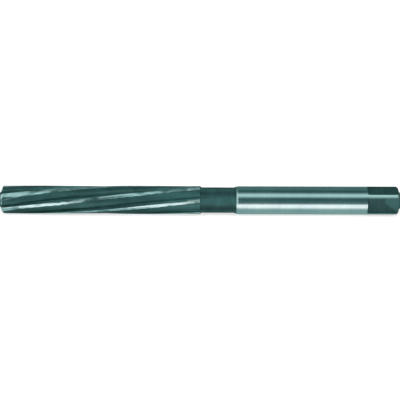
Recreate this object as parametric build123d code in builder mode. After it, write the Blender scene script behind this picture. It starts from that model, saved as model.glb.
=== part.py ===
from build123d import *
from math import asin, atan, atan2, cos, degrees, hypot, pi, radians, sin, sqrt, tan
import os

os.makedirs("parts", exist_ok=True)

# A hand reamer, turned, milled and ground from one bar of tool steel.
# Lengths are millimetres and angles degrees. The axis lies along X: the
# cutting end points to -X, the square drive to +X, and the origin is half
# way between the tips of the two centres.

# Lengths along the axis
overall_length = 115.0
centre_height = 1.55
cutting_length = 55.9
neck_length = 10.3
square_length = 8.9

# Diameters
cutting_diameter = 8.0
neck_diameter = 7.2
shank_diameter = 8.0
front_centre_diameter = 5.0
rear_centre_diameter = 5.4
centre_cone_angle = 75.0

# Front end: a short bevel, then a long slight taper that starts the cut
bevel_length = 0.45
bevel_depth = 0.65
lead_length = 14.0
lead_drop = 0.08

# Slopes beside the neck, the ground ring where the shank starts, and the
# chamfer round the square end
front_slope_length = 0.45
rear_slope_length = 0.6
ring_length = 0.55
ring_drop = 0.12
end_chamfer_length = 0.4
end_chamfer_depth = 0.55

# Square drive
square_across_flats = 6.4
square_corner_radius = 0.4

# Teeth: a left-hand helix that cuts clockwise seen from the square end.
# The spacing is unequal over three teeth and repeats on the other side.
# The first face angle is measured at the end of the teeth, from +Y to +Z.
helix_angle = 7.0
tooth_spacings = (62.08, 59.88, 58.04)
first_face_angle = 147.3

# A tooth's outside, from its edge backwards: a round margin, the relief
# behind it, and the full, rounded back down to the shoulder of the flute.
# Before the neck the relief runs out, so the round lands widen there.
margin_width = 0.25
relief_width = 0.6
relief_drop = 0.05
back_width = 1.75
back_drop = 0.14
relief_run_out_length = 3.5
relief_run_out_rise = 0.08

# Flutes: full depth at the front, then rising to run out in the neck
flute_depth = 1.2
flute_root_radius = 0.3
rise_start_before_neck = 17.0
run_out_past_teeth = 6.5
cutter_clearance = 0.8

# Stations along the axis, and radii
front_tip = -overall_length / 2
front_face = front_tip + centre_height
teeth_end = front_face + cutting_length
ring_start = teeth_end + neck_length
rear_tip = overall_length / 2
rear_face = rear_tip - centre_height
square_start = rear_face - square_length
cutting_radius = cutting_diameter / 2
neck_radius = neck_diameter / 2
shank_radius = shank_diameter / 2
centre_drop = centre_height * tan(radians(centre_cone_angle / 2))


# The turned blank, with both centres, the neck and its slopes
with BuildPart() as reamer:
    with BuildSketch(Plane.XZ) as half_section:
        with BuildLine():
            Polyline(
                (front_tip, 0),
                (front_tip, front_centre_diameter / 2 - centre_drop),
                (front_face, front_centre_diameter / 2),
                (front_face, cutting_radius - bevel_depth),
                (front_face + bevel_length, cutting_radius - lead_drop),
                (front_face + lead_length, cutting_radius),
                (teeth_end, cutting_radius),
                (teeth_end + front_slope_length, neck_radius),
                (ring_start - rear_slope_length, neck_radius),
                (ring_start, shank_radius - ring_drop),
                (ring_start + ring_length, shank_radius),
                (rear_face - end_chamfer_length, shank_radius),
                (rear_face, shank_radius - end_chamfer_depth),
                (rear_face, rear_centre_diameter / 2),
                (rear_tip, rear_centre_diameter / 2 - centre_drop),
                (rear_tip, 0),
                close=True,
            )
        make_face()
    revolve(axis=Axis.X)


# Sections of what is cut away stand square to the helix, with x outward
# along a tooth's face and y forward past its edge. Each follows the helix
# over a stretch, and a rise angle lifts it away from the axis on the way.
helix_lead = pi * cutting_diameter / tan(radians(helix_angle))
floor_radius = cutting_radius - flute_depth
root_middle = sqrt((floor_radius + flute_root_radius) ** 2 - flute_root_radius**2)
open_radius = cutting_radius + cutter_clearance
relief_end = margin_width + relief_width


def outline_point(radius, spacing, distance_behind_edge):
    angle = radians(spacing) - distance_behind_edge / cutting_radius
    return (radius * cos(angle), -radius * sin(angle))


def back_point(spacing, distance_behind_edge):
    share = (distance_behind_edge - relief_end) / back_width
    drop = relief_drop + (back_drop - relief_drop) * share
    return outline_point(cutting_radius - drop, spacing, distance_behind_edge)


def square_to_helix(start):
    along_tooth = (cos(radians(helix_angle)), sin(radians(helix_angle)), 0)
    return Plane(origin=(start, 0, 0), x_dir=(0, 0, 1), z_dir=along_tooth)


def helix_stretch(start, length, rise_angle):
    with BuildLine() as stretch:
        Helix(
            helix_lead,
            length,
            cutting_radius,
            center=(start, 0, 0),
            direction=(1, 0, 0),
            cone_angle=rise_angle,
            lefthand=True,
        )
    return stretch.line


# The flute: a tooth's face, the rounded root, and the flank that leans back
# to the shoulder of the tooth in front. Rounding the sharp corner of face
# and flank leaves the flute as deep as it is named.
def milled_flute(spacing, start, length, rise_angle):
    shoulder = back_point(spacing, relief_end + back_width)
    across = root_middle - shoulder[0]
    along = -flute_root_radius - shoulder[1]
    flank_angle = atan2(along, across) + asin(flute_root_radius / hypot(across, along))
    corner = (shoulder[0] - shoulder[1] / tan(flank_angle), 0)
    flank_reach = open_radius / floor_radius
    flank_end = (corner[0] + (shoulder[0] - corner[0]) * flank_reach, shoulder[1] * flank_reach)
    with BuildPart() as cut:
        with BuildSketch(square_to_helix(start)) as gap:
            with BuildLine():
                Polyline((open_radius, 0), corner, flank_end, close=True)
            make_face()
            face_points = gap.vertices().group_by(Axis.Y)[-1]
            fillet(face_points.sort_by(Axis.X)[0], flute_root_radius)
        sweep(path=helix_stretch(start, length, rise_angle), is_frenet=True)
    return cut.part


# The relief and the back, ground away behind the margin and on over the
# flute as far as its root
def ground_relief(spacing, start, length, rise_angle):
    over_root = radians(spacing) * cutting_radius - flute_root_radius
    back_end = back_point(spacing, over_root)
    with BuildPart() as cut:
        with BuildSketch(square_to_helix(start)):
            with BuildLine():
                ThreePointArc(
                    back_point(spacing, relief_end),
                    back_point(spacing, relief_end + back_width),
                    back_end,
                )
                Polyline(
                    back_end,
                    outline_point(open_radius, spacing, over_root),
                    outline_point(open_radius, spacing, margin_width),
                    outline_point(cutting_radius, spacing, margin_width),
                    back_point(spacing, relief_end),
                )
            make_face()
        sweep(path=helix_stretch(start, length, rise_angle), is_frenet=True)
    return cut.part


# Each cut is made in two stretches: level from beyond the front face, then
# rising, the flute until its root leaves the neck and the relief until the
# teeth end
level_start = front_face - cutter_clearance
flute_rise_start = teeth_end - rise_start_before_neck
run_out = teeth_end + run_out_past_teeth
flute_rise = degrees(atan((neck_radius - floor_radius) / (run_out - flute_rise_start)))
relief_rise_start = teeth_end - relief_run_out_length
relief_rise = degrees(atan(relief_run_out_rise / relief_run_out_length))
cuts = (
    (milled_flute, flute_rise_start, flute_rise, run_out),
    (ground_relief, relief_rise_start, relief_rise, teeth_end),
)
upright = 90.0

with reamer:
    face_angle = first_face_angle
    for spacing in tooth_spacings * 2:
        face_angle += spacing
        for cut, rise_start, rise_angle, cut_end in cuts:
            stretches = (
                (level_start, rise_start - level_start, 0),
                (rise_start, cut_end - rise_start + cutter_clearance, rise_angle),
            )
            for start, length, lift_angle in stretches:
                turn = face_angle - upright + 360 * (teeth_end - start) / helix_lead
                add(cut(spacing, start, length, lift_angle), rotation=(turn, 0, 0), mode=Mode.SUBTRACT)


# The square drive: four flats that leave lands of the shank's own round
# at the corners, each with a small milled radius where it ends
with reamer:
    for side in range(4):
        with BuildSketch(Plane.XZ.rotated((90 * side, 0, 0))) as flat:
            with BuildLine():
                Polyline(
                    (square_start, shank_radius + cutter_clearance),
                    (square_start, square_across_flats / 2),
                    (rear_face + cutter_clearance, square_across_flats / 2),
                    (rear_face + cutter_clearance, shank_radius + cutter_clearance),
                    close=True,
                )
            make_face()
            shank_side = flat.vertices().group_by(Axis.X)[0]
            fillet(shank_side.sort_by(Axis.Y)[0], square_corner_radius)
        extrude(amount=shank_radius, both=True, mode=Mode.SUBTRACT)

reamer.part.label = "reamer"
export_step(reamer.part, "parts/reamer.step")
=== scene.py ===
import math

import bmesh
import bpy
import numpy as np
from bpy.props import FloatProperty, FloatVectorProperty, PointerProperty
from bpy.types import Operator, Panel, PropertyGroup
from mathutils import Matrix, Quaternion, Vector


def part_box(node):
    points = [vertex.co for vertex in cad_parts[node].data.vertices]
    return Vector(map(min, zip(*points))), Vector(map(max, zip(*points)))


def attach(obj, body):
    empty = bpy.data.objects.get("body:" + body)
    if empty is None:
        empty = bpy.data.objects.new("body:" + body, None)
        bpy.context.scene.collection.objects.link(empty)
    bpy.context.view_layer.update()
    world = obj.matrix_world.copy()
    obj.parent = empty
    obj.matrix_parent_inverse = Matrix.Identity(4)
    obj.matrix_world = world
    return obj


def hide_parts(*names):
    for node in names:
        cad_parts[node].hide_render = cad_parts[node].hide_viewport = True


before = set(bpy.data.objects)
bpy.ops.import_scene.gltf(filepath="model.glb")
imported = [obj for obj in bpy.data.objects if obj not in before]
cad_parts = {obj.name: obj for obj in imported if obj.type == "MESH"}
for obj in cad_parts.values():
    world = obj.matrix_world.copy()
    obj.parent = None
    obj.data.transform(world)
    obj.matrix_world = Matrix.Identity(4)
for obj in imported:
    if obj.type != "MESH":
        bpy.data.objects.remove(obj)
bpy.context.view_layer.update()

bl_info = {
    "name": "Hand Reamer",
    "version": (1, 0, 0),
    "blender": (4, 5, 0),
    "location": "3D View > Sidebar > Reamer",
    "description": "A hand reamer with spiral teeth, a ground shank and a square drive",
    "category": "Add Mesh",
}

CAD_LOW, CAD_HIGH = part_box("reamer")
MM = 0.001


# Sizes and finishes that a user can change


def length(name, description, default):
    return FloatProperty(
        name=name, description=description, default=default, min=0.0, unit="LENGTH", precision=5
    )


def angle(name, description, default):
    return FloatProperty(
        name=name, description=description, default=math.radians(default), unit="ROTATION"
    )


def colour(name, description, default):
    return FloatVectorProperty(
        name=name, description=description, default=default, size=3, min=0.0, max=1.0, subtype="COLOR"
    )


def share(name, description, default):
    return FloatProperty(
        name=name, description=description, default=default, min=0.0, max=1.0, subtype="FACTOR"
    )


class ToolSizes(PropertyGroup):
    """Sizes of the turned and ground blank and its square drive."""

    overall_length: length(
        "Overall length", "From tip to tip of the two centres", CAD_HIGH.x - CAD_LOW.x
    )
    tool_diameter: length(
        "Diameter", "Cutting size, and the size of the shank", 2 * min(CAD_HIGH.y, CAD_HIGH.z)
    )
    neck_diameter: length("Neck diameter", "Turned neck between teeth and shank", 0.0072)
    centre_height: length("Centre height", "How far each centre stands beyond its face", 0.00155)
    front_centre_diameter: length("Front centre", "Diameter of the front centre at its base", 0.005)
    rear_centre_diameter: length("Rear centre", "Diameter of the rear centre at its base", 0.0054)
    centre_cone_angle: angle("Centre cone", "Full cone angle of both centres", 75.0)
    cutting_length: length("Cutting length", "Toothed stretch behind the front face", 0.0559)
    neck_length: length("Neck length", "From the end of the teeth to the ring", 0.0103)
    square_length: length("Square length", "Length of the square drive", 0.0089)
    across_flats: length("Across flats", "Width of the square drive", 0.0064)
    edge_break: length("Edge break", "Rounding of the turned and ground edges", 0.00006)


class ToothSizes(PropertyGroup):
    """Sizes of the teeth and the flutes between them."""

    helix_angle: angle("Helix angle", "Left-hand helix of the teeth", 7.0)
    spacings: FloatVectorProperty(
        name="Spacings",
        description="Angles between three teeth, repeated on the other side",
        default=(math.radians(62.08), math.radians(59.88), math.radians(58.04)),
        size=3,
        unit="ROTATION",
    )
    first_face_angle: angle("First face", "A tooth's face at the end of the teeth", 147.3)
    margin_width: length("Margin width", "Round land behind the edge", 0.00025)
    relief_width: length("Relief width", "Relieved land behind the margin", 0.0006)
    relief_drop: length("Relief drop", "How far the relieved land falls away", 0.00005)
    back_width: length("Back width", "Full, rounded back behind the relief", 0.00175)
    back_drop: length("Back drop", "Depth of the flute's shoulder below the cutting size", 0.00014)
    flute_depth: length("Flute depth", "From the cutting size to the rounded root", 0.0012)
    root_radius: length("Root radius", "Rounding between face and flank", 0.0003)
    rise_length: length("Rise length", "How far before the end of the teeth the flutes rise", 0.017)
    run_out_length: length("Run-out", "How far past the teeth the flutes run out", 0.0065)
    relief_run_out: length("Relief run-out", "How far before their end the relief rises", 0.0035)
    relief_rise: length("Relief rise", "How far the relief has risen there", 0.00008)
    bevel_length: length("Bevel length", "Bevel at the front of the teeth", 0.00045)
    bevel_depth: length("Bevel depth", "Depth of the bevel below the cutting size", 0.00065)
    lead_length: length("Lead length", "Slight taper that starts the cut", 0.014)
    lead_drop: length("Lead drop", "Depth of the taper at its front end", 0.00008)
    land_wander: length("Land wander", "How much the hand-honed lands vary in width", 0.00013)
    front_hone: length("Front hone", "How much wider the most honed land is in front", 0.0006)
    front_hone_length: length("Front hone length", "How far from the front that fades out", 0.026)
    hone_shares: FloatVectorProperty(
        name="Hone shares",
        description="Share of the front hone that each land has",
        default=(0.25, 0.5, 0.33, 0.58, 1.0, 0.0),
        size=6,
        min=0.0,
        max=1.0,
    )


class ToolFinish(PropertyGroup):
    """Colours and finishes of the steel."""

    ground_colour: colour("Ground steel", "Bright ground shank and corners", (0.8, 0.96, 0.97))
    ground_roughness: share("Ground roughness", "Roughness of the ground shank", 0.16)
    land_colour: colour("Lands", "Bright lands of the teeth", (0.66, 0.97, 0.95))
    land_roughness: share("Land roughness", "Roughness of the lands", 0.22)
    land_haze: share("Land haze", "Light that the lands scatter evenly", 0.04)
    land_end_haze: share("Land end haze", "The same on the coarser lands beside the neck", 0.2)
    skin_colour: colour("Dark skin", "Heat-treated backs, neck and flats", (0.048, 0.13, 0.126))
    # Painted light: the flutes get a paler copy of the dark skin, lifting the shade in their hollows
    flute_painted_light_colour: colour("Flutes", "Milled and heat-treated flutes", (0.08, 0.21, 0.2))
    skin_roughness: share("Skin roughness", "Roughness of the dark skin", 0.42)


class StudioSettings(PropertyGroup):
    """Camera, floor, lamps, and the cards and softbox as the steel shows them."""

    camera_distance: length("Camera distance", "From the camera to the middle of the tool", 0.367)
    camera_elevation: angle("Camera elevation", "Height of the camera above the horizon", 30.0)
    camera_roll: angle("Camera roll", "Turn of the picture about its middle", 0.18)
    picture_width: length("Picture width", "Width that the picture takes in at the tool", 0.11319)
    aim_height: length("Aim height", "How far above the tool's axis the camera points", 0.0)
    floor_colour: colour("Floor", "Pale studio floor", (0.85, 0.85, 0.85))
    near_colour: colour("Near card", "Shade on the table beside the tool", (0.22, 0.34, 0.33))
    strip_colour: colour("Bright strip", "Bright table beyond that shade", (1.0, 1.0, 1.0))
    room_colour: colour("Room", "Dark studio beyond the softbox", (0.03, 0.086, 0.082))
    card_colour: colour("Cards", "Dim cards low in front and behind", (0.075, 0.15, 0.143))
    rim_colour: colour("End cards", "Paler rim of the cards at both ends", (0.5, 0.66, 0.65))
    box_colour: colour("Softbox", "Soft light overhead", (0.48, 0.67, 0.655))
    lamp_strength: FloatProperty(
        name="Lamps", description="Light that each lamp gives the floor", default=0.3, min=0.0
    )


# The blank: its profile from the front face to the rear face, in millimetres


class Blank:
    """Stations along the axis and the blank's radii, in millimetres."""

    front_slope = 0.45
    rear_slope = 0.6
    ring_length = 0.55
    ring_drop = 0.12
    end_chamfer_length = 0.4
    end_chamfer_depth = 0.55
    corner_radius = 0.4

    def __init__(self, tool, teeth):
        def mm(value):
            return value / MM

        self.front_face = -mm(tool.overall_length) / 2 + mm(tool.centre_height)
        self.rear_face = mm(tool.overall_length) / 2 - mm(tool.centre_height)
        self.teeth_end = self.front_face + mm(tool.cutting_length)
        self.ring_start = self.teeth_end + mm(tool.neck_length)
        self.square_start = self.rear_face - mm(tool.square_length)
        self.radius = mm(tool.tool_diameter) / 2
        self.neck_radius = mm(tool.neck_diameter) / 2
        self.flat_height = mm(tool.across_flats) / 2
        corners = (
            (self.front_face, self.radius - mm(teeth.bevel_depth)),
            (self.front_face + mm(teeth.bevel_length), self.radius - mm(teeth.lead_drop)),
            (self.front_face + mm(teeth.lead_length), self.radius),
            (self.teeth_end, self.radius),
            (self.teeth_end + self.front_slope, self.neck_radius),
            (self.ring_start - self.rear_slope, self.neck_radius),
            (self.ring_start, self.radius - self.ring_drop),
            (self.ring_start + self.ring_length, self.radius),
            (self.rear_face - self.end_chamfer_length, self.radius),
            (self.rear_face, self.radius - self.end_chamfer_depth),
        )
        self.profile = np.array(eased(corners, mm(tool.edge_break)))

    def radius_at(self, x):
        return float(np.interp(x, self.profile[:, 0], self.profile[:, 1]))


def eased(corners, size, steps=4):
    """An open outline whose corners, but for the first and last, are rounded over a length."""
    points = [np.array(p, float) for p in corners]
    out = [tuple(points[0])]
    for before, here, after in zip(points, points[1:], points[2:]):
        reach = min(size, np.linalg.norm(here - before) / 3, np.linalg.norm(after - here) / 3)
        start = here + (before - here) / np.linalg.norm(before - here) * reach
        end = here + (after - here) / np.linalg.norm(after - here) * reach
        for i in range(steps + 1):
            t = i / steps
            out.append(tuple((1 - t) ** 2 * start + 2 * t * (1 - t) * here + t**2 * end))
    out.append(tuple(points[-1]))
    return out


# The least gap between stations, in millimetres
CLOSEST_STATIONS = 0.004


def stations(start, end, step, marks, margin=0.12):
    """Places from start to end at even steps, with the marks and a place close beside each."""
    count = max(1, math.ceil((end - start) / step))
    places = set(np.linspace(start, end, count + 1).round(5))
    for mark in marks:
        for place in (mark - margin, mark, mark + margin):
            if start < place < end:
                places.add(round(float(place), 5))
    places = sorted(places)
    kept = [places[0]]
    for place in places[1:]:
        if place - kept[-1] > CLOSEST_STATIONS:
            kept.append(place)
    kept[-1] = float(end)
    return kept


# The teeth: sections square to the axis, each point keeping its part of the tooth

# The parts round one tooth, and the columns of faces on each
FACE, ROOT, FLANK, BACK, RELIEF, LAND = range(6)
SPLITS = (5, 7, 8, 10, 4, 16)

# Points on each part of a dense outline
FINE = 60

# A flute's least depth and its points' least depth, and a step between places, in millimetres
SHALLOWEST = 0.002
UNDER_ROUND = 1e-7
PLACE_STEP = 1e-9

# The lands' waves, in radians for a millimetre and for a land, and the mean of their wander
LAND_WAVES = ((0.31, 2.7), (0.83, 1.9), (2.43, 0.7), (3.1, 2.2))
LAND_GAIN = 0.6


def gap_outline(teeth, radius, spacing, extra_land):
    """Dense points round one flute, in one row for each part from the face to the relief.

    x is outward along the tooth's face and y forward past its edge, so the flute has negative y.
    The flank and the back each run on past the shoulder where they meet.
    """
    margin = (teeth.margin_width + extra_land) / MM
    relief = teeth.relief_width / MM
    back = teeth.back_width / MM
    relief_drop, back_drop = teeth.relief_drop / MM, teeth.back_drop / MM
    rounding = teeth.root_radius / MM
    floor = radius - teeth.flute_depth / MM

    def behind_edge(at_radius, distance):
        turn = spacing - distance / radius
        return np.array((at_radius * math.cos(turn), -at_radius * math.sin(turn)))

    def on_back(share):
        drop = relief_drop + (back_drop - relief_drop) * share
        return behind_edge(radius - drop, margin + relief + back * share)

    t = np.linspace(0.0, 1.0, FINE)
    middle = np.array((math.sqrt((floor + rounding) ** 2 - rounding**2), -rounding))
    over_root = (spacing * radius - rounding - margin - relief) / back
    back_line = np.array([on_back(over_root * (1 - s)) for s in t])
    shoulder = on_back(1.0)
    margin_end = behind_edge(radius, margin)
    across, along = middle - shoulder
    flank_turn = math.atan2(along, across) + math.asin(rounding / math.hypot(across, along))
    turns = math.pi / 2 + flank_turn * t
    arc = middle + rounding * np.stack((np.cos(turns), np.sin(turns)), 1)
    top = np.array((radius, 0.0))
    t = t[:, None]
    return (
        top + (arc[0] - top) * t,
        arc,
        arc[-1] + (shoulder - arc[-1]) * t * 2,
        back_line,
        back_line[-1] + (margin_end - back_line[-1]) * t,
    )


def lifted(outline, flute_lift, relief_lift):
    """The outline with flute and relief lifted, and flank and back cut where they now meet."""
    face, root, flank = (line + (flute_lift, 0.0) for line in outline[:3])
    back, relief = (line + (relief_lift, 0.0) for line in outline[3:])
    back_turn, back_reach = np.arctan2(-back[:, 1], back[:, 0]), np.hypot(*back.T)
    turn, reach = np.arctan2(-flank[:, 1], flank[:, 0]), np.hypot(*flank.T)
    above = reach - np.interp(turn, back_turn, back_reach)
    i = int(np.argmax(above >= 0.0))
    meeting = i - above[i] / (above[i] - above[i - 1]) if i else 0.0
    shares = np.linspace(0.0, meeting / (FINE - 1), FINE)[:, None]
    flank = flank[0] + (flank[-1] - flank[0]) * shares
    turn = np.linspace(math.atan2(-flank[-1, 1], flank[-1, 0]), back_turn[-1], FINE)
    reach = np.interp(turn, back_turn, back_reach)
    back = np.stack((reach * np.cos(turn), -reach * np.sin(turn)), 1)
    return face, root, flank, back, relief


def section_points(outline, radius):
    """Points of one flute in polar form, clipped by the blank's own radius: angles and radii."""
    x, y = np.concatenate(outline).T
    place = np.concatenate([i + np.linspace(0.0, 1.0, FINE) for i in range(len(outline))])
    place += np.arange(len(place)) * PLACE_STEP
    reach = np.hypot(x, y)
    inside = np.flatnonzero(reach < radius - UNDER_ROUND)
    if radius - reach.min() < SHALLOWEST:
        near = int(np.argmin(reach))
        first = last = place[near]
    else:
        i, j = inside[0], inside[-1]
        first, last = place[i], place[j]
        if i > 0:
            t = (reach[i - 1] - radius) / (reach[i - 1] - reach[i])
            first = place[i - 1] + t * (place[i] - place[i - 1])
        if j < len(place) - 1:
            t = (radius - reach[j]) / (reach[j + 1] - reach[j])
            last = place[j] + t * (place[j + 1] - place[j])
    wanted = []
    for part in range(len(outline)):
        a, b = (min(max(part + k, first), last) for k in (0, 1))
        wanted += [a + (b - a) * i / SPLITS[part] for i in range(SPLITS[part])]
    wanted.append(last)
    px, py = np.interp(wanted, place, x), np.interp(wanted, place, y)
    return np.arctan2(py, px), np.minimum(np.hypot(px, py), radius)


class Teeth:
    """Rings of points for the toothed stretch and its run-out."""

    def __init__(self, tool, teeth, blank):
        self.teeth, self.blank = teeth, blank
        self.spacings = list(teeth.spacings) * 2
        self.turn_per_mm = math.tan(teeth.helix_angle) / blank.radius
        self.faces = np.cumsum(self.spacings) + teeth.first_face_angle
        self.rise_start = blank.teeth_end - teeth.rise_length / MM
        run_out = blank.teeth_end + teeth.run_out_length / MM
        root = blank.radius - teeth.flute_depth / MM
        self.slope = (blank.neck_radius - root) / (run_out - self.rise_start)
        self.relief_rise_start = blank.teeth_end - teeth.relief_run_out / MM
        self.relief_slope = teeth.relief_rise / teeth.relief_run_out
        columns = [part for part, count in enumerate(SPLITS) for _ in range(count)]
        self.column_part = columns * len(self.spacings)
        self.end = self.end_station()

    def ring(self, x, closed=False):
        """One closed ring of points at a station, as angles falling all the way round, and radii.

        A closed ring is plain round: every flute has run out.
        """
        radius = self.blank.radius_at(x)
        flute_lift = max(0.0, x - self.rise_start) * self.slope
        relief_lift = max(0.0, x - self.relief_rise_start) * self.relief_slope
        if closed:
            flute_lift = radius
        turned = (self.blank.teeth_end - x) * self.turn_per_mm
        gaps = []
        for k, spacing in enumerate(self.spacings):
            waves = sum(math.sin(along * x + across * k) for along, across in LAND_WAVES)
            wander = self.teeth.land_wander * (LAND_GAIN + waves / len(LAND_WAVES))
            hone = max(0.0, 1 - (x - self.blank.front_face) * MM / self.teeth.front_hone_length)
            extra = wander + self.teeth.front_hone * hone * self.teeth.hone_shares[k]
            outline = gap_outline(self.teeth, self.blank.radius, spacing, extra)
            gaps.append(section_points(lifted(outline, flute_lift, relief_lift), radius))
        angles, radii = [], []
        for k in reversed(range(len(gaps))):
            local, reach = gaps[k]
            here = self.faces[k] + turned + local
            following = gaps[k - 1][0][0] + self.faces[k] - self.spacings[k] + turned
            angles += list(here[:-1])
            radii += list(reach[:-1])
            count = SPLITS[LAND]
            angles += [here[-1] + (following - here[-1]) * i / count for i in range(count)]
            radii += [radius] * count
        return np.array(angles), np.array(radii)

    def end_station(self):
        """Where the last of the flutes leaves the neck."""
        lifts = []
        for spacing in self.spacings:
            outline = gap_outline(self.teeth, self.blank.radius, spacing, 0.0)
            x, y = np.concatenate(outline[:3]).T
            lift = 0.0
            while np.hypot(x + lift, y).min() < self.blank.neck_radius - SHALLOWEST:
                lift += SHALLOWEST / 2
            lifts.append(lift)
        return self.rise_start + max(lifts) / self.slope


# The square drive

FLAT_COLUMNS, CORNER_COLUMNS = 14, 10


def square_ring(radius, height, share):
    """A ring over the square drive: four flats at a height, joined by the blank's round corners.

    The flats' columns lie the given share of the way from the round to the flat.
    """
    height = min(height, radius)
    half = math.acos(height / radius)
    span = math.pi / 2 - 2 * half
    points = []
    for quarter in range(4):
        centre = -math.pi / 2 * quarter
        cos, sin = math.cos(centre), math.sin(centre)
        for i in range(FLAT_COLUMNS):
            t = 1 - 2 * i / FLAT_COLUMNS
            on_flat = (height, math.tan(half) * height * t)
            on_round = (radius * math.cos(half * t), radius * math.sin(half * t))
            y, z = (a + (b - a) * share for a, b in zip(on_round, on_flat))
            points.append((y * cos - z * sin, y * sin + z * cos))
        for i in range(CORNER_COLUMNS):
            turn = centre - half - span * i / CORNER_COLUMNS
            points.append((radius * math.cos(turn), radius * math.sin(turn)))
    return np.array(points)


# Mesh building

# Material slots
GROUND, LAND_STEEL, LAND_END, FLUTE_SKIN, BACK_SKIN, NECK_SKIN, TURNED_SKIN, FLAT_SKIN = range(8)

# Facets, beside the parts of a tooth: an edge between two of them stays sharp
ROUND_FACET, WALL_FACET, FLAT_FACET, FRONT_FACET, REAR_FACET = 10, 20, 30, 40, 50

# Steps along the axis, and the gap between the ring and where columns turn, in millimetres
TOOTH_STEP, SHANK_STEP, SQUARE_STEP = 0.35, 1.2, 0.6
TURN_GAP = 0.3

# The rings of the square's wall, from round to flat, and the steps of its milled radius
WALL_SHARES = (0.33, 0.67, 1.0)
RADIUS_STEPS = 6

# Points round each centre, and the first one's angle in radians
CENTRE_COLUMNS = 72
CENTRE_TURN = 0.019

# Where points are merged and the shortest edge that stays, in metres
MERGE_DISTANCE = 2.5e-7
SHORTEST_EDGE = 1e-8


class Surface:
    """Points and faces in millimetres, each face with its facet and its finish."""

    def __init__(self):
        self.points, self.faces, self.facets, self.finishes = [], [], [], []

    def ring(self, x, plane_points):
        start = len(self.points)
        self.points += [(float(x), float(y), float(z)) for y, z in plane_points]
        return list(range(start, len(self.points)))

    def face(self, corners, facet, finish):
        self.faces.append(tuple(corners))
        self.facets.append(facet)
        self.finishes.append(finish)

    def band(self, ring, following, facet_of, finish_of):
        count = len(ring)
        for i in range(count):
            j = (i + 1) % count
            self.face((ring[i], ring[j], following[j], following[i]), facet_of(i), finish_of(i))

    def zip(self, outer, inner, facet, finish):
        """Fills the flat ring between two closed rings whose angles fall all the way round."""

        def unrolled(ring):
            turns = [math.atan2(self.points[i][2], self.points[i][1]) for i in ring]
            first = turns.index(max(turns))
            ring, turns = ring[first:] + ring[:first], turns[first:] + turns[:first]
            ring.append(ring[0])
            turns.append(turns[0] - math.tau)
            for k in range(1, len(turns) - 1):
                turns[k] = min(turns[k], turns[k - 1])
            return ring, turns

        (a, a_turns), (b, b_turns) = unrolled(outer), unrolled(inner)
        i = j = 0
        while i < len(a) - 1 or j < len(b) - 1:
            if j == len(b) - 1 or (i < len(a) - 1 and a_turns[i + 1] >= b_turns[j + 1]):
                self.face((a[i], a[i + 1], b[j]), facet, finish)
                i += 1
            else:
                self.face((a[i], b[j + 1], b[j]), facet, finish)
                j += 1

    def fan(self, ring, centre, facet, finish):
        self.points.append(centre)
        middle = len(self.points) - 1
        for i, corner in enumerate(ring):
            self.face((corner, ring[(i + 1) % len(ring)], middle), facet, finish)

    def mesh(self, name):
        """A closed, outward-facing mesh in metres, with sharp edges where two facets meet."""
        data = bpy.data.meshes.new(name)
        data.from_pydata([tuple(c * MM for c in p) for p in self.points], [], self.faces)
        data.polygons.foreach_set("material_index", self.finishes)
        facets = data.attributes.new("facet", "INT", "FACE")
        facets.data.foreach_set("value", self.facets)
        body = bmesh.new()
        body.from_mesh(data)
        bmesh.ops.remove_doubles(body, verts=body.verts, dist=MERGE_DISTANCE)
        bmesh.ops.dissolve_degenerate(body, edges=body.edges, dist=SHORTEST_EDGE)
        bmesh.ops.recalc_face_normals(body, faces=body.faces)
        layer = body.faces.layers.int["facet"]
        for edge in body.edges:
            if len(edge.link_faces) != 2:
                raise RuntimeError(f"{name} is open or doubled near {tuple(edge.verts[0].co)}")
            one, other = edge.link_faces
            edge.smooth = one[layer] == other[layer]
        for face in body.faces:
            face.smooth = True
        body.faces.layers.int.remove(layer)
        body.to_mesh(data)
        body.free()
        data.update()
        return data


def plane(angles, radii):
    return np.stack((radii * np.cos(angles), radii * np.sin(angles)), 1)


def centre_rings(base_radius, height, cone_angle, edge):
    """Distances from the face and radii of a centre's cone, with its edges broken."""
    tip_radius = base_radius - height * math.tan(cone_angle / 2)
    foot = ((0.0, base_radius + edge), (0.0, base_radius))
    return eased((*foot, (height, tip_radius), (height, tip_radius / 2)), edge)


def add_teeth(surface, blank, cutter):
    """The toothed stretch and the flutes' run-out. Returns the front ring."""
    marks = [*blank.profile[:, 0], cutter.rise_start, cutter.relief_rise_start]
    places = stations(blank.front_face, cutter.end, TOOTH_STEP, marks)
    rings = [surface.ring(x, plane(*cutter.ring(x, x == cutter.end))) for x in places]

    def facet_of(i):
        part = cutter.column_part[i]
        if part == LAND:
            return ROUND_FACET
        return FLANK if part == ROOT else part

    for k, (ring, following) in enumerate(zip(rings, rings[1:])):
        x = (places[k] + places[k + 1]) / 2

        def finish_of(i):
            part = cutter.column_part[i]
            if x > blank.teeth_end:
                return NECK_SKIN
            if part in (FACE, ROOT, FLANK):
                return FLUTE_SKIN
            if part == BACK:
                return BACK_SKIN
            return LAND_STEEL if x < cutter.relief_rise_start else LAND_END

        surface.band(ring, following, facet_of, finish_of)
    return rings[0]


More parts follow.
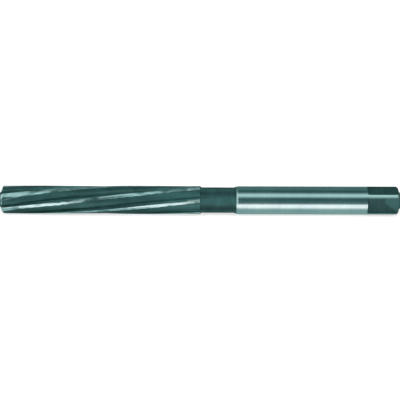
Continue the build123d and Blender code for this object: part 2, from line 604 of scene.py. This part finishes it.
def add_neck_and_shank(surface, blank, cutter):
    """Neck, ring and shank, whose columns turn to those of the square. Returns the rear ring."""
    land_columns = [i for i, part in enumerate(cutter.column_part) if part == LAND]
    angles = cutter.ring(cutter.end, True)[0][land_columns]
    shank = square_ring(blank.radius, blank.flat_height + blank.corner_radius, 0.0)
    shank_angles = np.unwrap(np.arctan2(shank[:, 1], shank[:, 0]))
    misfit = [abs((a - shank_angles[0] + math.pi) % math.tau - math.pi) for a in angles]
    shift = int(np.argmin(misfit))
    neck_angles = np.concatenate((angles[shift:], angles[:shift] - math.tau))
    shank_angles += math.tau * round((neck_angles[0] - shank_angles[0]) / math.tau)
    turn_start = blank.ring_start + blank.ring_length + TURN_GAP
    turn_length = blank.square_start - turn_start
    marks = [x for x in blank.profile[:, 0] if cutter.end < x < blank.square_start]
    places = stations(cutter.end, blank.square_start, SHANK_STEP, marks)
    rings = []
    for x in places:
        t = min(max((x - turn_start) / turn_length, 0.0), 1.0)
        turned = neck_angles + (shank_angles - neck_angles) * t
        rings.append(surface.ring(x, plane(turned, blank.radius_at(x))))
    for k, (ring, following) in enumerate(zip(rings, rings[1:])):
        middle = (places[k] + places[k + 1]) / 2
        finish = NECK_SKIN if middle < blank.ring_start else GROUND
        surface.band(ring, following, lambda i: ROUND_FACET, lambda i: finish)
    return rings[-1]


def add_square(surface, blank, ring):
    """The square's wall, milled radius, flats and end chamfer. Returns the rear ring."""
    round_start = blank.flat_height + blank.corner_radius
    flats_start = blank.square_start + blank.corner_radius
    steps = [(blank.square_start, round_start, share, WALL_FACET) for share in WALL_SHARES]
    for i in range(1, RADIUS_STEPS + 1):
        turn = math.pi / 2 * i / RADIUS_STEPS
        x = blank.square_start + blank.corner_radius * (1 - math.cos(turn))
        height = blank.flat_height + blank.corner_radius * (1 - math.sin(turn))
        steps.append((x, height, 1.0, FLAT_FACET))
    for x in stations(flats_start, blank.rear_face, SQUARE_STEP, list(blank.profile[:, 0]))[1:]:
        steps.append((x, blank.flat_height, 1.0, FLAT_FACET))
    per_quarter = FLAT_COLUMNS + CORNER_COLUMNS
    on_flat = [i % per_quarter < FLAT_COLUMNS for i in range(len(ring))]
    for x, height, share, facet in steps:
        following = surface.ring(x, square_ring(blank.radius_at(x), height, share))
        on_chamfer = x > blank.rear_face - blank.end_chamfer_length
        surface.band(
            ring,
            following,
            lambda i: facet + i // per_quarter if on_flat[i] else ROUND_FACET,
            lambda i: FLAT_SKIN if on_flat[i] else TURNED_SKIN if on_chamfer else GROUND,
        )
        ring = following
    return ring


def add_end(surface, tool, outer, face_x, diameter, face_finish, facet):
    """The flat face round a centre, the centre's cone and its small flat tip."""
    way = 1 if face_x > 0 else -1
    rows = centre_rings(
        diameter / 2 / MM, tool.centre_height / MM, tool.centre_cone_angle, tool.edge_break / MM
    )
    turns = CENTRE_TURN - math.tau * np.arange(CENTRE_COLUMNS) / CENTRE_COLUMNS
    rings = [surface.ring(face_x + way * depth, plane(turns, radius)) for depth, radius in rows]
    surface.zip(outer, rings[0], facet, face_finish)
    for ring, following in zip(rings, rings[1:]):
        surface.band(ring, following, lambda i: facet + 1, lambda i: TURNED_SKIN)
    surface.fan(rings[-1], (face_x + way * rows[-1][0], 0.0, 0.0), facet + 1, TURNED_SKIN)


def build_surface(tool, teeth):
    """The whole tool as one closed surface."""
    blank = Blank(tool, teeth)
    cutter = Teeth(tool, teeth, blank)
    surface = Surface()
    front = add_teeth(surface, blank, cutter)
    rear = add_square(surface, blank, add_neck_and_shank(surface, blank, cutter))
    diameters = tool.front_centre_diameter, tool.rear_centre_diameter
    add_end(surface, tool, front, blank.front_face, diameters[0], LAND_STEEL, FRONT_FACET)
    add_end(surface, tool, rear, blank.rear_face, diameters[1], TURNED_SKIN, REAR_FACET)
    return surface


# Finishes


def feed(tree, socket, value):
    if isinstance(value, bpy.types.NodeSocket):
        tree.links.new(value, socket)
    else:
        socket.default_value = value


def add(tree, kind, inputs=(), output=0, **settings):
    """A shader node with its settings and inputs, by number or name. Returns one output."""
    node = tree.nodes.new("ShaderNode" + kind)
    for name, value in settings.items():
        setattr(node, name, value)
    pairs = inputs.items() if isinstance(inputs, dict) else enumerate(inputs)
    for key, value in pairs:
        feed(tree, node.inputs[key], value)
    return node.outputs[output]


def math_node(tree, operation, *values):
    return add(tree, "Math", values, operation=operation)


def coordinate(tree, vector, axis):
    return add(tree, "SeparateXYZ", (vector,), output=axis)


def spread(tree, value, low, high, to_low=0.0, to_high=1.0):
    """A value mapped from one stretch to another, and held at its ends."""
    return add(tree, "MapRange", (value, low, high, to_low, to_high))


def noise(tree, vector, stretch, detail=3.0, roughness=0.55):
    """Noise whose grain has the given fineness along each axis, in grains a metre."""
    scaled = add(tree, "VectorMath", (vector, stretch), operation="MULTIPLY")
    settings = {"Vector": scaled, "Scale": 1.0, "Detail": detail, "Roughness": roughness}
    return add(tree, "TexNoise", settings)


def blend(tree, factor, one, other):
    """One colour where the factor is 0 and the other where it is 1."""
    return add(tree, "Mix", {0: factor, 6: one, 7: other}, output=2, data_type="RGBA")


def scaled_colour(tree, colour, scale):
    return add(tree, "VectorMath", {0: colour, "Scale": scale}, operation="SCALE")


def rgba(colour, times=1.0):
    return tuple(min(1.0, c * times) for c in colour) + (1.0,)


def place(tree):
    return add(tree, "TexCoord", output="Object")


def along_helix(tree, vector, turn_per_metre):
    """Coordinates that stay still when followed along the helix of the teeth."""
    turn = math_node(tree, "MULTIPLY", coordinate(tree, vector, "X"), turn_per_metre)
    return add(tree, "VectorRotate", {"Vector": vector, "Angle": turn}, rotation_type="X_AXIS")


def cleared_tree(owner):
    """The empty node tree of a material or a world."""
    owner.use_nodes = True
    owner.node_tree.nodes.clear()
    return owner.node_tree


def start_material(name, kind="BsdfPrincipled"):
    """A new material, its tree and its one shader, of the given kind."""
    material = bpy.data.materials.new(name)
    tree = cleared_tree(material)
    shader = tree.nodes.new("ShaderNode" + kind)
    output = tree.nodes.new("ShaderNodeOutputMaterial")
    tree.links.new(shader.outputs[0], output.inputs["Surface"])
    return material, tree, shader


def finish_shader(tree, shader, colour, roughness, metallic, height, depth):
    """Colour, roughness and bump of a finish. Depth is that of the bump, in metres."""
    feed(tree, shader.inputs["Base Color"], colour)
    feed(tree, shader.inputs["Roughness"], roughness)
    shader.inputs["Metallic"].default_value = metallic
    settings = {"Strength": 1.0, "Distance": depth, "Height": height}
    tree.links.new(add(tree, "Bump", settings), shader.inputs["Normal"])


def ground_steel(finish):
    """Cylindrically ground steel: fine marks round the tool, faint streaks and handling wear."""
    material, tree, shader = start_material("ground_steel")
    here = place(tree)
    marks = noise(tree, here, (7000.0, 60.0, 60.0), 2.0)
    streaks = noise(tree, here, (30.0, 420.0, 420.0), 2.0)
    wear = noise(tree, here, (170.0, 170.0, 170.0), 4.0)
    tone = math_node(tree, "MULTIPLY_ADD", marks, 0.35, math_node(tree, "MULTIPLY", wear, 0.65))
    light, dark = rgba(finish.ground_colour, 1.06), rgba(finish.ground_colour, 0.88)
    colour = blend(tree, spread(tree, tone, 0.35, 0.65), dark, light)
    rough = math_node(tree, "MULTIPLY_ADD", streaks, 0.08, finish.ground_roughness - 0.04)
    rough = math_node(tree, "MULTIPLY_ADD", spread(tree, wear, 0.4, 0.75), 0.06, rough)
    finish_shader(tree, shader, colour, rough, metallic=1.0, height=marks, depth=0.000002)
    return material


def land_steel(finish, name, turn_per_metre, haze):
    """Ground and honed lands: marks along the helix, broken into bright and dull stretches.

    Haze is the share of light that the steel scatters evenly.
    """
    material, tree, shader = start_material(name)
    here = along_helix(tree, place(tree), turn_per_metre)
    marks = noise(tree, here, (60.0, 5000.0, 5000.0), 2.0)
    stretches = noise(tree, here, (260.0, 700.0, 700.0), 1.0)
    light, dark = rgba(finish.land_colour, 1.2), rgba(finish.land_colour, 0.6)
    colour = blend(tree, spread(tree, stretches, 0.38, 0.5), dark, light)
    dull = spread(tree, stretches, 0.36, 0.64)
    rough = math_node(tree, "MULTIPLY_ADD", dull, 0.24, finish.land_roughness - 0.1)
    height = math_node(tree, "MULTIPLY_ADD", marks, 0.02, stretches)
    finish_shader(tree, shader, colour, rough, 1.0 - haze, height, depth=0.00002)
    return material


# Where the skin of backs and flutes turns paler before the neck, in metres
PALE_START, PALE_FULL = -0.016, -0.01

# Painted shade: how much darker the side flats are than the top one, and where that one starts, in
# metres
SIDE_PAINTED_SHADE = 0.36
TOP_FLAT_START, TOP_FLAT_FULL = 0.003, 0.0032

# A painted reflection, a paler patch on the side flats: past a station and above a falling line, in
# metres
PAINTED_REFLECTION_START, PAINTED_REFLECTION_FULL = 0.0522, 0.0526
PAINTED_REFLECTION_LINE_FALL = 0.8
PAINTED_REFLECTION_LINE_START, PAINTED_REFLECTION_LINE_FULL = 0.0427, 0.0433
PAINTED_REFLECTION_RAGGEDNESS = 0.0008

TOOTH_COUNT = 6

# From a tooth's face to the middle of its land where the teeth end
LAND_MIDDLE = math.radians(7)


def painted_reflection_stripes(tree, colour, here, land_angle):
    """Painted reflection stripes along the tool, paler in line with the lands and broken up by
    smears.
    """
    around = math_node(tree, "ARCTAN2", coordinate(tree, here, "Z"), coordinate(tree, here, "Y"))
    from_land = math_node(tree, "MULTIPLY_ADD", around, TOOTH_COUNT, -TOOTH_COUNT * land_angle)
    lands = math_node(tree, "COSINE", from_land)
    smears = noise(tree, here, (18.0, 560.0, 560.0), 1.0)
    stripes = math_node(tree, "MULTIPLY_ADD", smears, 2.0, lands)
    shades = spread(tree, stripes, -0.2, 2.2, to_low=0.66, to_high=1.45)
    return scaled_colour(tree, colour, shades)


def flat_painted_shade_and_reflection(tree, colour, here, painted_reflection_colour):
    """The square's side flats with painted shade, and a paler patch on each as a painted reflection.
    """
    x, z = coordinate(tree, here, "X"), coordinate(tree, here, "Z")
    top = spread(tree, z, TOP_FLAT_START, TOP_FLAT_FULL)
    darker = blend(tree, SIDE_PAINTED_SHADE, colour, (0.0, 0.0, 0.0, 1.0))
    colour = blend(tree, top, darker, colour)
    patch = noise(tree, here, (300.0, 120.0, 120.0), 2.0)
    beyond = math_node(tree, "MULTIPLY_ADD", patch, PAINTED_REFLECTION_RAGGEDNESS, x)
    beyond = spread(tree, beyond, PAINTED_REFLECTION_START, PAINTED_REFLECTION_FULL)
    above = math_node(tree, "MULTIPLY_ADD", x, PAINTED_REFLECTION_LINE_FALL, z)
    above = math_node(tree, "MULTIPLY_ADD", patch, PAINTED_REFLECTION_RAGGEDNESS, above)
    above = spread(tree, above, PAINTED_REFLECTION_LINE_START, PAINTED_REFLECTION_LINE_FULL)
    painted_reflection_mask = math_node(tree, "MULTIPLY", beyond, above)
    painted_reflection_mask = math_node(tree, "MULTIPLY", painted_reflection_mask, math_node(tree, "SUBTRACT", 1.0, top))
    return blend(tree, painted_reflection_mask, colour, painted_reflection_colour)


def dark_skin(
    finish, name, tint, streaks_along, turn_per_metre=0.0, paint_flat_light=False, land_angle=None, pale_end=0.0
):
    """Heat-treated skin with cutter marks along the given stretch, mottled.

    Where the angle of a land round the axis is given, the skin is duller and has painted reflection
    stripes. Pale end is how much paler the skin is beside the neck. The square's flats can get
    painted shade on their sides and a painted reflection patch.
    """
    material, tree, shader = start_material(name)
    here = place(tree)
    along = along_helix(tree, here, turn_per_metre) if turn_per_metre else here
    marks = noise(tree, along, streaks_along, 3.0)
    mottle = noise(tree, here, (260.0, 260.0, 260.0), 4.0)
    mark_share = 0.5 if land_angle is None else 0.2
    mottled = math_node(tree, "MULTIPLY", mottle, 1.0 - mark_share)
    tone = math_node(tree, "MULTIPLY_ADD", marks, mark_share, mottled)
    light, dark = rgba(tint, 1.35), rgba(tint, 0.7)
    colour = blend(tree, spread(tree, tone, 0.34, 0.66), dark, light)
    lowest_roughness = finish.skin_roughness - 0.08
    if land_angle is not None:
        lowest_roughness = finish.skin_roughness + 0.1
        colour = painted_reflection_stripes(tree, colour, here, land_angle)
    if pale_end:
        paler = scaled_colour(tree, colour, 1.0 + pale_end)
        near_neck = spread(tree, coordinate(tree, here, "X"), PALE_START, PALE_FULL)
        colour = blend(tree, near_neck, colour, paler)
    if paint_flat_light:
        # Painted shade on the side flats and a painted reflection patch
        colour = flat_painted_shade_and_reflection(tree, colour, here, rgba(tint, 1.15))
    rough = math_node(tree, "MULTIPLY_ADD", mottle, 0.16, lowest_roughness)
    finish_shader(tree, shader, colour, rough, metallic=0.75, height=marks, depth=0.000006)
    return material


# Operators


def link_object(scene, name, data):
    thing = bpy.data.objects.new(name, data)
    scene.collection.objects.link(thing)
    return thing


class REAMER_OT_build_tool(Operator):
    """Build the reamer as one closed piece with its ground and heat-treated finishes"""

    bl_idname = "reamer.build_tool"
    bl_label = "Build Reamer"

    def execute(self, context):
        scene = context.scene
        tool, teeth, finish = scene.reamer_tool, scene.reamer_teeth, scene.reamer_finish
        data = build_surface(tool, teeth).mesh("reamer_body")
        turn_per_metre = math.tan(teeth.helix_angle) / (tool.tool_diameter / 2)
        skin, flute = finish.skin_colour, finish.flute_painted_light_colour
        milled, turned = (50.0, 2600.0, 2600.0), (4200.0, 80.0, 80.0)
        land_angle = teeth.first_face_angle + LAND_MIDDLE
        materials = (
            ground_steel(finish),
            land_steel(finish, "land_steel", turn_per_metre, finish.land_haze),
            land_steel(finish, "land_end", turn_per_metre, finish.land_end_haze),
            # The flutes' skin is a paler copy of the skin, as painted light
            dark_skin(finish, "flute_skin", flute, milled, turn_per_metre, pale_end=0.15),
            dark_skin(finish, "back_skin", skin, milled, turn_per_metre, pale_end=0.28),
            # The neck's skin carries painted reflection stripes
            dark_skin(finish, "neck_skin", skin, turned, land_angle=land_angle),
            dark_skin(finish, "turned_skin", skin, turned),
            # The flats' skin carries painted shade on the sides and a painted reflection patch
            dark_skin(finish, "flat_skin", skin, (2200.0, 200.0, 200.0), paint_flat_light=True),
        )
        for material in materials:
            data.materials.append(material)
        body = link_object(scene, "reamer_body", data)
        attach(body, "root")
        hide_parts("reamer")
        return {"FINISHED"}


def aimed(location, target=Vector((0.0, 0.0, 0.0)), roll=0.0):
    """Where a lamp or camera stands that points from the location at the target."""
    turn = (target - location).to_track_quat("-Z", "Y") @ Quaternion((0.0, 0.0, 1.0), roll)
    return Matrix.Translation(location) @ turn.to_matrix().to_4x4()


def area_lamp(scene, name, location, light):
    """A soft square lamp that gives the floor a share of white, and shows in no reflection."""
    lamp = bpy.data.lights.new(name, "AREA")
    lamp.size = LAMP_SIZE
    lamp.energy = light * math.pi * math.pi * location.length**3 / location.z
    holder = link_object(scene, name, lamp)
    holder.matrix_world = aimed(location)
    holder.visible_camera = False
    holder.visible_glossy = False


def around_tool(distance, elevation, x=0.0):
    """A place round the tool's axis: 0 is level in front, 90 straight above, 180 level behind."""
    turn = math.radians(elevation)
    return Vector((x, -distance * math.cos(turn), distance * math.sin(turn)))


# The lamps: their size and places in metres
LAMP_SIZE = 0.3
LAMPS = (
    ("overhead_lamp", around_tool(0.5, 63.0)),
    ("left_lamp", Vector((-0.55, -0.45, 0.6))),
    ("right_lamp", Vector((0.55, -0.45, 0.6))),
)

# The surround's distance and ends in metres, its edge above the level in degrees, the steps
# round it and the end cards, and its colours by elevation
SURROUND_DISTANCE = 0.495
SURROUND_START, SURROUND_END = -0.165, 0.5
SURROUND_EDGE = 0.5
SURROUND_STEPS, END_CARD_STEPS = 60, 40
SURROUND_BANDS = (
    (0.0, "card_colour"),
    (36.0, "room_colour"),
    (42.0, "room_colour"),
    (68.0, "box_colour"),
    (100.0, "room_colour"),
    (112.0, "room_colour"),
    (130.0, "card_colour"),
    (180.0, "card_colour"),
)

# Where the end cards turn paler and the table's shade and bright strip end, from the axis, and
# the table cards' gap above the floor, in metres
END_CARD_RIM = (0.16, 0.36)
TABLE_SHADE_END = (0.0055, 0.0115)
TABLE_STRIP_END = (0.027, 0.11)
TABLE_CARD_GAP = 0.00002

# The floor's half width in metres, its own light and its share of the lamps' light, and the
# world's soft light
FLOOR_HALF_WIDTH = 4.0
FLOOR_GLOW = (0.7, 0.7, 0.7, 1.0)
FLOOR_LIT_SHARE = 0.5
WORLD_LIGHT = 0.25


def half_round(steps, x):
    """Places round the surround at a station, from front to back."""
    sweep = 180.0 - 2 * SURROUND_EDGE
    turns = (SURROUND_EDGE + sweep * i / steps for i in range(steps + 1))
    return [tuple(around_tool(SURROUND_DISTANCE, turn, x)) for turn in turns]


def level_square(half, level):
    """The corners of a level square round the origin."""
    return [(-half, -half, level), (half, -half, level), (half, half, level), (-half, half, level)]


def add_screen(scene, name, points, faces, material):
    """A screen round the tool that shows in reflections only."""
    data = bpy.data.meshes.new(name)
    data.from_pydata(points, [], faces)
    data.materials.append(material)
    screen = link_object(scene, name, data)
    screen.visible_camera = False
    screen.visible_diffuse = False
    screen.visible_shadow = False


def make_surround(scene, studio):
    """A long half-round screen over the tool: dark room, softbox and cards."""
    ends = (half_round(SURROUND_STEPS, x) for x in (SURROUND_START, SURROUND_END))
    points = [point for pair in zip(*ends) for point in pair]
    faces = [(2 * i, 2 * i + 1, 2 * i + 3, 2 * i + 2) for i in range(SURROUND_STEPS)]
    material, tree, glow = start_material("surround", "Emission")
    here = place(tree)
    forward = math_node(tree, "MULTIPLY", coordinate(tree, here, "Y"), -1.0)
    elevation = math_node(tree, "ARCTAN2", coordinate(tree, here, "Z"), forward)
    bands = tree.nodes.new("ShaderNodeValToRGB")
    tree.links.new(math_node(tree, "DIVIDE", elevation, math.pi), bands.inputs[0])
    ramp = bands.color_ramp
    ramp.interpolation = "EASE"
    for k, (degrees, name) in enumerate(SURROUND_BANDS):
        stop = ramp.elements[k] if k < 2 else ramp.elements.new(degrees / 180.0)
        stop.position = degrees / 180.0
        stop.color = rgba(getattr(studio, name))
    tree.links.new(bands.outputs[0], glow.inputs["Color"])
    add_screen(scene, "surround", points, faces, material)


def make_end_cards(scene, studio):
    """Half-round cards that close the surround's ends, dim in the middle and paler at the rim."""
    points, faces = [], []
    for x in (SURROUND_START, SURROUND_END):
        card = half_round(END_CARD_STEPS, x)
        faces.append(tuple(range(len(points), len(points) + len(card))))
        points += card
    material, tree, glow = start_material("end_cards", "Emission")
    across = add(tree, "VectorMath", (place(tree), (0.0, 1.0, 1.0)), operation="MULTIPLY")
    reach = add(tree, "VectorMath", (across,), output="Value", operation="LENGTH")
    rim = spread(tree, reach, *END_CARD_RIM)
    shade = blend(tree, rim, rgba(studio.card_colour), rgba(studio.rim_colour))
    tree.links.new(shade, glow.inputs["Color"])
    add_screen(scene, "end_cards", points, faces, material)


def make_table_cards(scene, studio):
    """Cards on the table: shade close beside the tool, a bright strip each side, dim beyond."""
    material, tree, glow = start_material("table_cards", "Emission")
    away = math_node(tree, "ABSOLUTE", coordinate(tree, place(tree), "Y"))
    beside, beyond = (
        add(tree, "MapRange", (away, *stretch), interpolation_type="SMOOTHSTEP")
        for stretch in (TABLE_SHADE_END, TABLE_STRIP_END)
    )
    strip = blend(tree, beside, rgba(studio.near_colour), rgba(studio.strip_colour))
    tree.links.new(blend(tree, beyond, strip, rgba(studio.card_colour)), glow.inputs["Color"])
    points = level_square(SURROUND_DISTANCE, CAD_LOW.z + TABLE_CARD_GAP)
    add_screen(scene, "table_cards", points, [(0, 1, 2, 3)], material)


def seen_directly(tree):
    """1 for what the camera, a gloss or a clear surface shows, and 0 for soft light."""
    rays = tree.nodes.new("ShaderNodeLightPath").outputs
    total = math_node(tree, "ADD", rays["Is Camera Ray"], rays["Is Glossy Ray"])
    total = math_node(tree, "ADD", total, rays["Is Transmission Ray"])
    return math_node(tree, "MINIMUM", total, 1.0)


def make_floor(scene, studio):
    """A pale floor that shows as white and keeps the tool's shadow."""
    data = bpy.data.meshes.new("studio_floor")
    data.from_pydata(level_square(FLOOR_HALF_WIDTH, CAD_LOW.z), [], [(0, 1, 2, 3)])
    material, tree, both = start_material("studio_floor", "AddShader")
    feed(tree, both.inputs[0], add(tree, "Emission", (FLOOR_GLOW, seen_directly(tree))))
    lit_colour = rgba(studio.floor_colour, FLOOR_LIT_SHARE)
    feed(tree, both.inputs[1], add(tree, "BsdfDiffuse", (lit_colour,)))
    data.materials.append(material)
    link_object(scene, "studio_floor", data)


def make_world(scene):
    """White to the camera and in reflections, and a soft even light otherwise."""
    world = bpy.data.worlds.new("studio_world")
    tree = cleared_tree(world)
    strength = spread(tree, seen_directly(tree), 0.0, 1.0, WORLD_LIGHT, 1.0)
    background = add(tree, "Background", ((1.0, 1.0, 1.0, 1.0), strength))
    output = tree.nodes.new("ShaderNodeOutputWorld")
    tree.links.new(background, output.inputs["Surface"])
    scene.world = world


def make_camera(scene, studio):
    """The camera at the photo's viewing angle, and what its picture takes in."""
    lens = bpy.data.cameras.new("photo_camera")
    lens.sensor_width = 36.0
    lens.lens = lens.sensor_width * studio.camera_distance / studio.picture_width
    lens.clip_start, lens.clip_end = 0.01, 20.0
    camera = link_object(scene, "photo_camera", lens)
    location = around_tool(studio.camera_distance, math.degrees(studio.camera_elevation))
    aim = Vector((0.0, 0.0, studio.aim_height))
    camera.matrix_world = aimed(location, aim, studio.camera_roll)
    scene.camera = camera


class REAMER_OT_set_stage(Operator):
    """Set the studio: floor, world, lamps, softbox, cards and the camera"""

    bl_idname = "reamer.set_stage"
    bl_label = "Set Stage"

    def execute(self, context):
        scene = context.scene
        studio = scene.reamer_studio
        make_floor(scene, studio)
        make_world(scene)
        for name, location in LAMPS:
            area_lamp(scene, name, location, studio.lamp_strength)
        make_surround(scene, studio)
        make_end_cards(scene, studio)
        make_table_cards(scene, studio)
        make_camera(scene, studio)
        scene.view_settings.view_transform = "Standard"
        return {"FINISHED"}


class REAMER_PT_panel(Panel):
    """Reamer settings in the sidebar"""

    bl_idname = "REAMER_PT_panel"
    bl_label = "Hand Reamer"
    bl_space_type = "VIEW_3D"
    bl_region_type = "UI"
    bl_category = "Reamer"

    def draw(self, context):
        layout = self.layout
        for group_name in GROUPS:
            group = getattr(context.scene, group_name)
            column = layout.column(align=True)
            for name in group.__annotations__:
                column.prop(group, name)
        layout.operator(REAMER_OT_build_tool.bl_idname)
        layout.operator(REAMER_OT_set_stage.bl_idname)


GROUPS = {
    "reamer_tool": ToolSizes,
    "reamer_teeth": ToothSizes,
    "reamer_finish": ToolFinish,
    "reamer_studio": StudioSettings,
}
CLASSES = (*GROUPS.values(), REAMER_OT_build_tool, REAMER_OT_set_stage, REAMER_PT_panel)


def register():
    for cls in CLASSES:
        bpy.utils.register_class(cls)
    for name, group in GROUPS.items():
        setattr(bpy.types.Scene, name, PointerProperty(type=group))


def unregister():
    for name in GROUPS:
        delattr(bpy.types.Scene, name)
    for cls in reversed(CLASSES):
        bpy.utils.unregister_class(cls)


def main():
    register()
    bpy.ops.reamer.build_tool()
    bpy.ops.reamer.set_stage()


if __name__ == "__main__":
    main()
